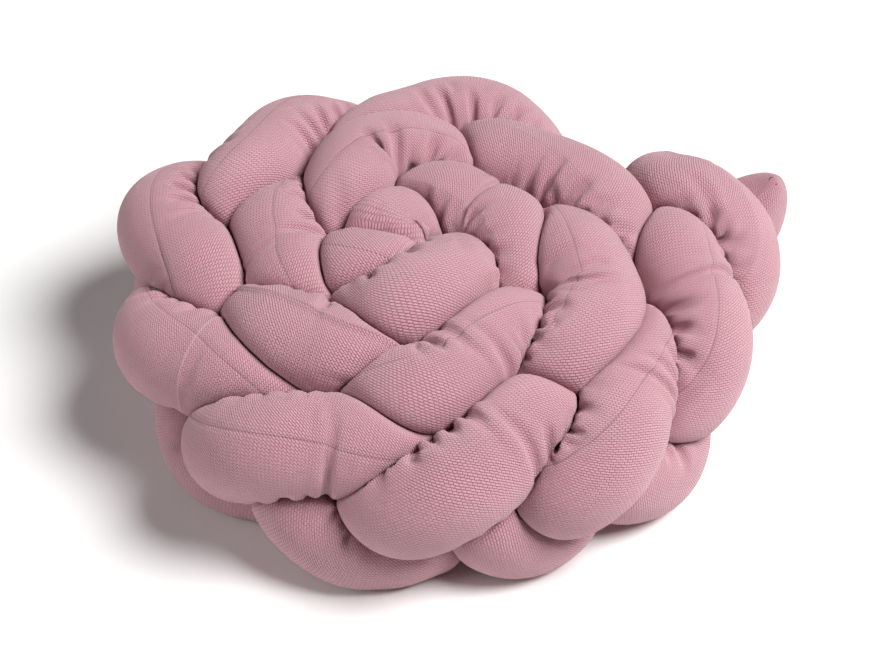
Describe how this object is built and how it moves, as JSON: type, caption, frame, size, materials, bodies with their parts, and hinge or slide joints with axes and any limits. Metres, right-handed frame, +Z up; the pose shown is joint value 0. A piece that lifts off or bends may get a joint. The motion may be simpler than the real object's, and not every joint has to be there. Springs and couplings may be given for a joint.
{
  "type": "braided crib bumper",
  "caption": "Soft crib bumper of stuffed fabric tubes plaited flat, set on edge and wound into a rose-like coil with its loose end outside.",
  "frame": {"origin": "on the table, under the middle of the coil's box", "axes": "+Z up off the table; +X along the coil's longest width, towards the plait's loose tail; +Y away from the picture's viewer"},
  "size_m": [0.5922, 0.5214, 0.2036],
  "materials": {
    "rose_pique": "dusty rose waffle pique with a soft, brushed, matt face"
  },
  "bodies": {
    "root": {"strand_1": "rose_pique", "strand_2": "rose_pique", "strand_3": "rose_pique"}
  },
  "joints": []
}
